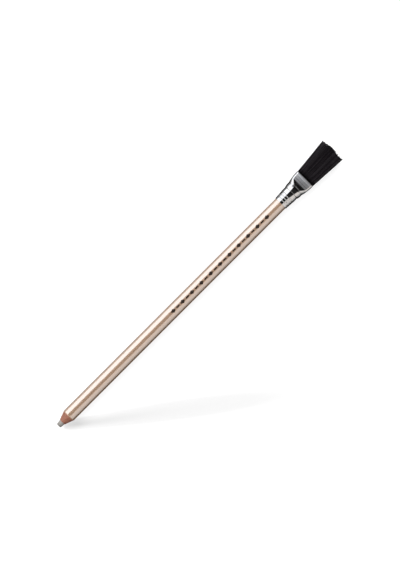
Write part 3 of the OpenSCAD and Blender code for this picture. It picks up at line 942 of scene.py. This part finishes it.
class PENCIL_OT_ferrule(Operator):
    """Rolls and presses the ferrule from a tube of sheet metal"""
    bl_idname = "pencil.ferrule"
    bl_label = "Ferrule"

    count = 256  # corners in a ring

    def execute(self, context):
        sizes = context.scene.pencil_ferrule
        bm = bmesh.new()
        start = list(bmesh.ops.create_circle(bm, cap_ends=False, segments=self.count,
                                             radius=sizes.rear_r)["verts"])
        for v, place in zip(start, ferrule_ring(sizes, 0.0, 0.05 * MM, self.count)):
            v.co = place
        rim = start
        for u, inset in self.outline(sizes):
            rim = extrude_to(bm, rim, ferrule_ring(sizes, u, inset, self.count))
        bmesh.ops.bridge_loops(bm, edges=ring_edges(bm, rim) + ring_edges(bm, start))
        bmesh.ops.recalc_face_normals(bm, faces=bm.faces)
        self.mark(bm, sizes)
        seat_on_axis(bm)
        finish_piece(bm, "Ferrule", ["ferrule"],
                     nickel_finish(context.scene.pencil_colours), sharp=55.0)
        return {"FINISHED"}

    def outline(self, sizes):
        """Distance and depth under the outer face of each ring: forward outside, back inside."""
        wall, shoulder = sizes.wall, sizes.shoulder_at
        rear = [(0.02 * MM, 0.02 * MM), (0.05 * MM, 0.0)]
        outer = [(u, 0.0) for u in ferrule_stations(sizes)]
        mouth = [(FERRULE_L - 0.04 * MM, 0.015 * MM), (FERRULE_L, 0.07 * MM),
                 (FERRULE_L, wall - 0.06 * MM), (FERRULE_L - 0.05 * MM, wall)]
        inner = [FERRULE_L - 0.4 * MM * i for i in range(1, 12)]
        inner += [sizes.press_start + sizes.press_l * s for s in (0.9, 0.6, 0.3, 0.0)]
        inner += [sizes.round_at, shoulder + 0.6 * MM, shoulder - 0.1 * MM]
        inner += [u * MM for u in (5.6, 4.7, 3.9, 3.0, 2.2, 1.3, 0.05)]
        return rear + outer + mouth + [(u, wall) for u in inner] + [(0.0, wall - 0.05 * MM)]

    def mark(self, bm, sizes):
        """Writes where the press left a satin face and where shade is painted into the colour."""
        satin = bm.verts.layers.float.new("satin")
        fold = bm.verts.layers.float.new("fold")
        end = press_end(sizes)
        for v in bm.verts:
            u, y = v.co.x - REAR_X, v.co.y
            width, thick, flats = ferrule_section(sizes, min(max(u, 0.0), FERRULE_L))
            on_flat = within(abs(y), flats[0] - 0.1 * MM, flats[0] + 0.35 * MM)
            v[satin] = float(step(u, end, end + 0.12 * MM) * on_flat)
            shade_depth = max(crease_shade(sizes, u, y, flats), flat_shade(sizes, u, y) * v[satin],
                        lip_shade(u, y), ring_shade(sizes, u, y, width))
            # the inside of the tube is painted dark as shade, and the outer face takes the painted
            # shade above
            inside = math.hypot(y, v.co.z) < min(width, thick) - 0.6 * sizes.wall
            v[fold] = 1.0 if inside and u < end else float(shade_depth)


# Resin plug

class PENCIL_OT_resin_plug(Operator):
    """Casts the resin plug that sets the butts of the bristles"""
    bl_idname = "pencil.resin_plug"
    bl_label = "Resin plug"

    def execute(self, context):
        sizes = context.scene.pencil_ferrule
        start, end = PLUG_BOX[0].x, PLUG_BOX[1].x
        inset = sizes.wall + 0.08 * MM  # the sheet and a little air
        side = [(x, float(round_face(sizes, x - REAR_X)) - inset)
                for x in np.linspace(start, end, 17)]
        bm = turned([(start, 0.0), *side, (end, 0.0)], steps=96)
        seat_on_axis(bm)
        finish_piece(bm, "BristleResinPlug", ["bristle_resin_plug"],
                     patchy_finish("amber_resin", context.scene.pencil_colours.resin, 600.0, 0.75,
                                   1.2, 0.01 * MM, Roughness=0.25, Coat_Weight=0.4,
                                   Coat_Roughness=0.15, Subsurface_Weight=0.1))
        return {"FINISHED"}


# Bristles

def bristle_finish(colours):
    """Near-black bristles with lighter locks, and painted shade that darkens them at the mouth."""
    made, tree, shader, place = material("black_bristle")
    tone = written(tree, "tone")
    streaks = hairlines(tree, place, (0.05, 1.0, 1.0), 3000.0)
    stained = blend_colours(tree, tone, colours.bristle, colours.bristle_light)
    light = blend_colours(tree, ranged(tree, streaks, 0.5, 0.8, 0.0, 0.35), stained,
                          colours.bristle_light)
    # painted shade: the bristles' colour is halved near the mouth
    free = ranged(tree, along(tree, place), MOUTH_X + 0.3 * MM, MOUTH_X + 3.0 * MM)
    shine = ranged(tree, tone, 0.0, 1.0, 0.03, 0.36)
    feed(tree, shader, Base_Color=blend_colours(tree, free, scaled(colours.bristle, 0.5), light),
         Roughness=ranged(tree, tone, 0.0, 1.0, 0.38, 0.60),
         Specular_IOR_Level=maths(tree, "MULTIPLY", shine, free))
    raise_surface(tree, shader, (streaks, 0.003 * MM))
    return made


def bristle_roots(sizes, rng):
    """Places of the bristles in the mouth, from -1 to 1 across and through, evenly scattered."""
    across = rng.uniform(-1.0, 1.0, sizes.bristles * 3)
    through = rng.uniform(-1.0, 1.0, sizes.bristles * 3)
    inside = np.abs(across) ** 5 + np.abs(through) ** 3 < 1.0
    return across[inside][:sizes.bristles], through[inside][:sizes.bristles]


def bristle_locks(sizes, across, rng):
    """How each bristle's lock pulls it in, shifts it, colours it and makes it longer or shorter."""
    even = np.linspace(-1.0, 1.0, sizes.locks + 1)[1:-1]
    inner = even + rng.uniform(-0.03, 0.03, sizes.locks - 1)
    borders = np.sort(np.concatenate([[-1.05, 1.05], inner]))
    lock = np.clip(np.searchsorted(borders, across) - 1, 0, sizes.locks - 1)
    middle = (borders[lock] + borders[lock + 1]) / 2
    half = (borders[lock + 1] - borders[lock]) / 2
    pull = (rng.uniform(0.0, 1.0, sizes.locks) ** 2 * 0.18)[lock]
    shift = rng.uniform(-0.16, 0.16, sizes.locks)[lock]
    tone = (rng.uniform(0.0, 1.0, sizes.locks) ** 3)[lock] * 0.9
    longer = rng.uniform(-0.34, 0.14, sizes.locks)
    longer[[0, -1]] = 0.14
    return middle, half, pull, shift, tone, longer[lock] * MM


def crown_drop(sizes, tip):
    """How much shorter a bristle is than the longest, by the place of its tip across the brush."""
    off = np.abs(tip)
    low_side = 0.82 * np.minimum(1.0, off / 0.6) - 0.20 * step(off, 0.6, 1.0)
    high_side = off ** 1.3 - 0.25 * step(off, 0.85, 1.0)
    return sizes.crown_back * np.where(tip > 0.0, high_side, low_side)


def bristle_paths(sizes, rings, rng):
    """Points and radii of every bristle, and its tone."""
    across, through = bristle_roots(sizes, rng)
    count = len(across)
    high_y, low_y = TUFT_BOX[1].y, TUFT_BOX[0].y
    lean, half_w = (high_y + low_y) / 2, (high_y - low_y) / 2
    middle, half_lock, pull, shift, lock_tone, longer = bristle_locks(sizes, across, rng)
    sink = 0.14 * np.minimum(1.0, np.abs(across - middle) / half_lock) ** 3
    tip_a = across + (middle - across) * pull
    tip_b = through * 0.96 + shift * (1 - np.abs(through))
    uneven = sizes.uneven * rng.uniform(0.0, 1.0, count) ** 2
    radius = sizes.bristle_r * rng.uniform(0.8, 1.05, count)
    end = TUFT_BOX[1].x
    reach_x = np.minimum(end - crown_drop(sizes, tip_a) - uneven + longer, end - 0.01 * MM)
    shares = np.linspace(0.0, 1.0, rings)
    start = MOUTH_X - sizes.bound_l
    wander = rng.normal(0.0, 0.05 * MM, (2, count))
    paths = np.zeros((count, rings, 3))
    for i, s in enumerate(shares):
        x = start + (reach_x - start) * s
        free = np.clip((x - MOUTH_X) / (end - MOUTH_X), 0.0, 1.0)
        spread = 0.75 * free ** 1.08 + 0.25 * (1.0 - (1.0 - free) ** 14)
        waist = 1.0 - 0.037 * math.sin(math.pi * float(np.mean(free)) ** 0.75)
        y = across * sizes.root_w * (1 - spread) + 1.03 * tip_a * half_w * spread
        z = through * sizes.root_t * (1 - spread) + tip_b * sizes.tip_t * spread
        bulge = 1.0 + 0.05 * np.sin(math.pi * np.minimum(1.0, free * 1.4)) * (free > 0)
        bend = np.sin(math.pi * free) * (free > 0)
        paths[:, i] = np.stack([x, y * waist + lean * free ** 1.5 + wander[0] * bend,
                                z * (1 - sink * spread) * bulge + wander[1] * bend], 1)
    taper = np.interp(shares, [0.0, 0.7, 0.93, 1.0], [1.0, 0.95, 0.85, 0.7])
    paths[:, :, 1] = np.clip(paths[:, :, 1], low_y + sizes.bristle_r, high_y - sizes.bristle_r)
    paths[:, :, 2] += AXIS_Z
    tone = np.clip(lock_tone + rng.normal(0.0, 0.18, count), 0.0, 1.0) * (1.0 - np.abs(across) ** 8)
    return paths, radius[:, None] * taper[None, :] / sizes.bristle_r, tone


class PENCIL_OT_bristles(Operator):
    """Draws the bristles of the flat brush, one tapered tube each"""
    bl_idname = "pencil.bristles"
    bl_label = "Bristles"

    def execute(self, context):
        sizes = context.scene.pencil_brush
        rings = 6
        paths, radii, tone = bristle_paths(sizes, rings, np.random.default_rng(sizes.seed))
        curve = bpy.data.curves.new("bristle_lines", "CURVE")
        curve.dimensions = "3D"
        curve.bevel_depth = sizes.bristle_r
        curve.bevel_resolution = 0
        curve.use_fill_caps = True
        for path, radius in zip(paths, radii):
            spline = curve.splines.new("POLY")
            spline.points.add(rings - 1)
            spline.points.foreach_set("co", np.hstack([path, np.ones((rings, 1))]).ravel())
            spline.points.foreach_set("radius", radius)
        lines = bpy.data.objects.new("bristle_lines", curve)
        context.scene.collection.objects.link(lines)
        shown = lines.evaluated_get(context.evaluated_depsgraph_get())
        mesh = bpy.data.meshes.new_from_object(shown)
        bpy.data.objects.remove(lines)
        per_bristle = len(mesh.vertices) // len(paths)
        values = mesh.attributes.new("tone", "FLOAT", "POINT")
        values.data.foreach_set("value", np.repeat(tone, per_bristle).astype(np.float32))
        finish_mesh(mesh, "Bristles", ["bristle_tuft"],
                    bristle_finish(context.scene.pencil_colours), sharp=80.0)
        return {"FINISHED"}


# Studio

ALL_ALONG = (-1.1, 1.1)  # reach of the long panels along X
NEAR_FLOOR = (0.2 * MM, 0.2 * MM)  # height of the flags that lie on the floor
DARK, DIM, GREY = 0.012, 0.02, 0.36  # light that the flags give off
KEY_FLOOR, FILL_FLOOR = 0.28, (0.06, 0.025, 0.0)  # the same for those beside the barrel
FLAG_W, FERRULE_FLAG_W = 30 * MM, 21 * MM  # their width beside the barrel and the ferrule
CLEAR_LIFT, SHADOW_LIFT = 0.87, 0.70  # light that the floor adds beside the tip's painted shadow and in it
SHADOW_DEPTH = 0.235  # how much more the tip's painted shadow takes away where it is darkest
MIRRORED = 0.21  # the floor's light in reflections
# place, angle, width, widening and fading of the painted shadow beside the tip
SHADOW_START, SHADOW_ANGLE = (TIP_X + 2.9 * MM, -3.2 * MM, 0.0), math.radians(-37.0)
SHADOW_W, SHADOW_WIDENS, SHADOW_FADE = 1.6 * MM, 0.048, 42 * MM

# Name, light given off, first and last angle, distance and reach along X of each bright card
CARDS = [
    ("key_card", (1.70, 1.74, 1.82), 26.5, 90.0, 0.55, *ALL_ALONG),
    ("ring_card", 1.0, 12.0, 90.0, 0.50, ALL_ALONG[0], -0.26),
    ("fill_card", (0.86, 0.82, 0.79), -25.8, -90.0, 0.60, *ALL_ALONG),
]
# Name, light given off, and reach along X, Y and Z of each flag
FLAGS = [
    ("overhead_flag", DIM, (-0.38, 2.0), (-1.5, 1.5), (0.95, 0.95)),
    ("tip_side_flag", DIM, (-0.60, -0.60), (-0.50, 0.22), (0.0, 0.45)),
    ("far_flag", DARK, (0.30, 0.30), (-0.07, 0.12), (0.0, 0.035)),
    ("far_dim_flag", GREY, (0.30, 0.30), (-0.07, 0.12), (0.035, 0.20)),
    ("far_floor_flag", DARK, (0.112, 0.30), (-0.03, 0.03), NEAR_FLOOR),
    ("key_side_barrel_flag", KEY_FLOOR, (-0.14, REAR_X), (0.0, FLAG_W), NEAR_FLOOR),
    ("key_side_ferrule_flag", DIM, (REAR_X, MOUTH_X), (0.0, FERRULE_FLAG_W), NEAR_FLOOR),
    ("fill_side_barrel_flag", FILL_FLOOR, (-0.14, REAR_X), (0.0, -FLAG_W), NEAR_FLOOR),
    ("fill_side_ferrule_flag", DIM, (REAR_X, MOUTH_X), (0.0, -FERRULE_FLAG_W), NEAR_FLOOR),
]


def stand(start, end, distance, from_x, to_x):
    """Size and place of a panel beside the pencil that fills the angles from start to end, counted
    from straight up towards +Y in degrees, and reaches from one place along X to another."""
    angle, half = math.radians(start + end) / 2, math.radians(abs(end - start)) / 2
    away, side = Vector((0.0, math.sin(angle), math.cos(angle))), Vector((1.0, 0.0, 0.0))
    turn = Matrix((side, away.cross(side), away)).transposed()
    place = away * distance + Vector(((from_x + to_x) / 2, 0, AXIS_Z))
    return to_x - from_x, 2 * distance * math.tan(half), Matrix.Translation(place) @ turn.to_4x4()


def lamp(name, radiance, start, end, distance, from_x, to_x):
    """A soft box as matt surfaces see it."""
    width, height, seat = stand(start, end, distance, from_x, to_x)
    light = bpy.data.lights.new(name, "AREA")
    light.shape, light.size, light.size_y = "RECTANGLE", width, height
    light.energy = radiance * math.pi * width * height
    piece = bpy.data.objects.new(name, light)
    piece.matrix_world = seat
    piece.visible_glossy = False
    bpy.context.scene.collection.objects.link(piece)


def card(name, glow, start, end, distance, from_x, to_x):
    """A bright panel as shiny surfaces reflect it."""
    width, height, seat = stand(start, end, distance, from_x, to_x)
    unseen(plate(name, (-width / 2, width / 2), (-height / 2, height / 2), (0.0, 0.0),
                 glowing(glow), seat))


def plate(name, x, y, z, finish, seat=Matrix.Identity(4)):
    """A flat plate of the studio between two places along X, two along Y and two along Z,
    where one of the pairs is a single place twice."""
    bm = bmesh.new()
    corners = bmesh.ops.create_grid(bm, x_segments=1, y_segments=1, size=1.0)["verts"]
    for v in corners:
        second_x, second_y = v.co.x > 0, v.co.y > 0
        upright = x[0] == x[1]
        v.co = seat @ Vector((x[second_x], y[second_y], z[second_x] if upright else z[0]))
    mesh = bpy.data.meshes.new(name)
    bm.to_mesh(mesh)
    bm.free()
    mesh.materials.append(finish)
    piece = bpy.data.objects.new(name, mesh)
    bpy.context.scene.collection.objects.link(piece)
    return piece


def unseen(piece):
    """Leaves a plate to reflections only."""
    piece.visible_camera = piece.visible_diffuse = False
    piece.visible_shadow = piece.visible_transmission = False


def glowing(glow):
    """A matt black finish that gives off a plain light of its own, made once for each light."""
    name = f"card_{glow}"
    if name in bpy.data.materials:
        return bpy.data.materials[name]
    tint = glow if isinstance(glow, tuple) else (glow, glow, glow)
    return material(name, Roughness=1.0, Specular_IOR_Level=0.0, Emission_Strength=1.0,
                    Base_Color=rgba((0.0, 0.0, 0.0)), Emission_Color=rgba(tint))[0]


def any_of(tree, rays, first, *others):
    """1 for rays of any of the kinds, and 0 for all others."""
    found = rays[first]
    for kind in others:
        found = maths(tree, "MAXIMUM", found, rays[kind])
    return found


def floor_finish():
    """A pale floor that gives off light of its own to the camera, so that it shows white but for a
    painted soft shadow beside the tip and, faintly, the pencil's own cast shadow. In reflections
    it is dim."""
    made, tree, shader, place = material("pale_floor", Roughness=0.9, Specular_IOR_Level=0.0,
                                         Base_Color=rgba((0.35, 0.35, 0.35)),
                                         Emission_Color=rgba((1.0, 1.0, 1.0)))
    rays = tree.nodes.new("ShaderNodeLightPath").outputs
    reflected = any_of(tree, rays, "Is Glossy Ray", "Is Transmission Ray")
    shade = painted_tip_shadow(tree, place)
    lift = ranged(tree, shade, 0.0, 0.08, CLEAR_LIFT, SHADOW_LIFT, interpolation_type="SMOOTHSTEP")
    lift = maths(tree, "SUBTRACT", lift, maths(tree, "MULTIPLY", shade, SHADOW_DEPTH))
    shown = maths(tree, "MULTIPLY", rays["Is Camera Ray"], lift)
    mirrored = maths(tree, "MULTIPLY", reflected, MIRRORED)
    feed(tree, shader, Emission_Strength=maths(tree, "ADD", shown, mirrored))
    return made


def painted_tip_shadow(tree, place):
    """Depth from 0 to 1 of a painted soft shadow that runs from the tip at an angle to the pencil,
    widening and fading."""
    turned_place = node(tree, "ShaderNodeMapping", {
        "Vector": place, "Location": SHADOW_START, "Rotation": (0.0, 0.0, SHADOW_ANGLE)},
        vector_type="TEXTURE").outputs[0]
    along_it, across_it, _ = node(tree, "ShaderNodeSeparateXYZ", {0: turned_place}).outputs
    start = ranged(tree, along_it, -3.0 * MM, 8.0 * MM, interpolation_type="SMOOTHSTEP")
    run = maths(tree, "MAXIMUM", along_it, 0.0)
    half_w = maths(tree, "MULTIPLY_ADD", run, SHADOW_WIDENS, SHADOW_W)
    off = maths(tree, "DIVIDE", across_it, half_w)
    far = maths(tree, "MULTIPLY_ADD", run, 1.0 / SHADOW_FADE, maths(tree, "MULTIPLY", off, off))
    return maths(tree, "MULTIPLY", maths(tree, "POWER", math.exp(-1.0), far), start)


def room(settings):
    """A white room to the camera and in reflections, and a dim one as a light."""
    world = bpy.data.worlds.new("studio_room")
    bpy.context.scene.world = world
    world.use_nodes = True
    tree = world.node_tree
    rays = tree.nodes.new("ShaderNodeLightPath").outputs
    seen = any_of(tree, rays, "Is Camera Ray", "Is Glossy Ray", "Is Transmission Ray")
    back = tree.nodes["Background"].inputs
    back["Color"].default_value = rgba((1.0, 1.0, 1.0))
    tree.links.new(blend_values(tree, seen, settings.ambient, 1.0), back["Strength"])


def camera(settings):
    """Looks straight down, so that the pencil lies across the picture at its angle."""
    view = bpy.data.cameras.new("camera")
    view.lens = settings.lens
    distance = settings.lens / view.sensor_width * settings.view_l
    view.clip_start, view.clip_end = 0.05, 20.0
    seen = bpy.data.objects.new("camera", view)
    seen.location = Vector(settings.aim) + Vector((0, 0, distance))
    seen.rotation_euler = (0.0, 0.0, -settings.roll)
    bpy.context.scene.collection.objects.link(seen)
    bpy.context.scene.camera = seen


class PENCIL_OT_stage(Operator):
    """Sets up the pale floor, the lamps, the cards and flags for reflections, and the camera"""
    bl_idname = "pencil.stage"
    bl_label = "Stage"

    def execute(self, context):
        settings = context.scene.pencil_studio
        context.scene.view_settings.view_transform = "Standard"
        plate("floor", (-3.0, 3.0), (-3.0, 3.0), (0.0, 0.0), floor_finish())
        lamp("key_lamp", settings.key, 15.0, 50.0, 0.55, *ALL_ALONG)
        lamp("fill_lamp", settings.fill, -22.0, -75.0, 0.60, *ALL_ALONG)
        for row in CARDS:
            card(*row)
        for name, glow, x, y, z in FLAGS:
            unseen(plate(name, x, y, z, glowing(glow)))
        room(settings)
        camera(settings)
        return {"FINISHED"}


class PENCIL_PT_panel(Panel):
    """Buttons for the pencil's pieces and its stage"""
    bl_idname = "PENCIL_PT_panel"
    bl_label = "Pencil eraser stick"
    bl_space_type = "VIEW_3D"
    bl_region_type = "UI"
    bl_category = "Pencil"

    def draw(self, context):
        for operator in OPERATORS:
            self.layout.operator(operator.bl_idname)
        for _, name, _ in GROUPS:
            self.layout.label(text=name)


GROUPS = [("pencil_case", "Case", CaseSizes), ("pencil_stamp", "Stamp", StampSizes),
          ("pencil_ferrule", "Ferrule", FerruleSizes), ("pencil_brush", "Brush", BrushSizes),
          ("pencil_colours", "Colours", FinishColours), ("pencil_studio", "Studio", StudioSettings)]
OPERATORS = [PENCIL_OT_stage, PENCIL_OT_eraser_core, PENCIL_OT_cedar_case, PENCIL_OT_barrel_coats,
             PENCIL_OT_stamped_foil, PENCIL_OT_ferrule, PENCIL_OT_resin_plug, PENCIL_OT_bristles]


def register():
    for _, _, group in GROUPS:
        bpy.utils.register_class(group)
    for made in [*OPERATORS, PENCIL_PT_panel]:
        bpy.utils.register_class(made)
    for name, label, group in GROUPS:
        setattr(bpy.types.Scene, name, PointerProperty(type=group, name=label))


def unregister():
    for name, _, _ in GROUPS:
        delattr(bpy.types.Scene, name)
    for made in [PENCIL_PT_panel, *OPERATORS]:
        bpy.utils.unregister_class(made)
    for _, _, group in GROUPS:
        bpy.utils.unregister_class(group)


def main():
    register()
    bpy.ops.pencil.stage()
    bpy.ops.pencil.eraser_core()
    bpy.ops.pencil.cedar_case()
    bpy.ops.pencil.barrel_coats()
    bpy.ops.pencil.stamped_foil()
    bpy.ops.pencil.ferrule()
    bpy.ops.pencil.resin_plug()
    bpy.ops.pencil.bristles()


if __name__ == "__main__":
    main()
